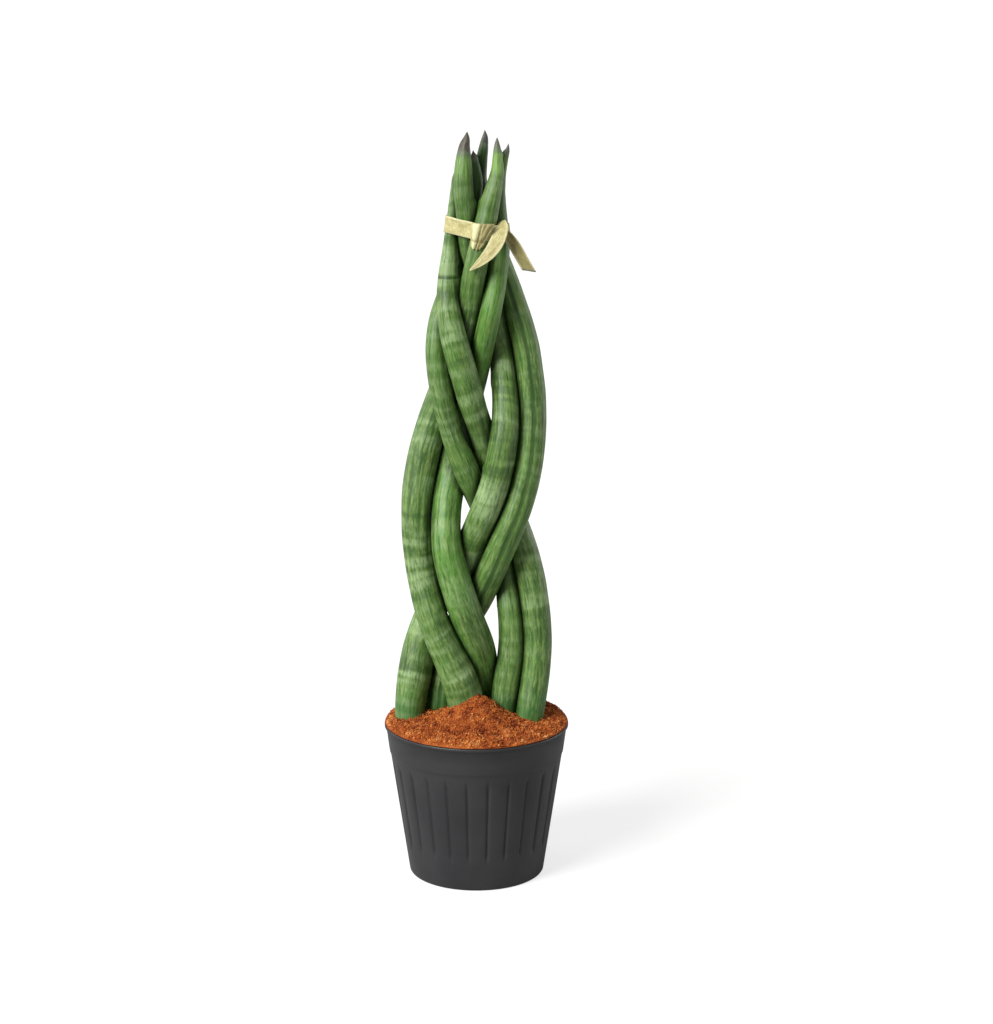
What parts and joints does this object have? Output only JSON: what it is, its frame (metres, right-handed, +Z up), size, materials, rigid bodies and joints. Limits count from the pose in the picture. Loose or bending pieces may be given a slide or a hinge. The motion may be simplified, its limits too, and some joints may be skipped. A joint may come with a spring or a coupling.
{
  "type": "braided cylindrical snake plant in a pot",
  "caption": "Potted succulent with upright round pointed leaves plaited as a braid, tied near the top with a ribbon, in a ribbed round nursery pot filled with coir.",
  "frame": {"origin": "centre of the pot's underside, on the surface that it stands on", "axes": "+Z up along the pot's axis, -Y towards the side with the ribbon's knot, +X to the right seen from there"},
  "size_m": [0.11, 0.11, 0.4452],
  "materials": {
    "pot": "charcoal, satin",
    "soil": "loose fibrous coir, rusty brown",
    "leaf": "waxy leaf skin, mid green with paler grey-green bands",
    "ribbon": "pale khaki-gold ribbon, soft sheen"
  },
  "bodies": {
    "root": {"pot": "pot", "soil": "soil", "leaf_1": "leaf", "leaf_2": "leaf", "leaf_3": "leaf", "leaf_4": "leaf", "leaf_5": "leaf", "leaf_6": "leaf", "ribbon": "ribbon"}
  },
  "joints": []
}
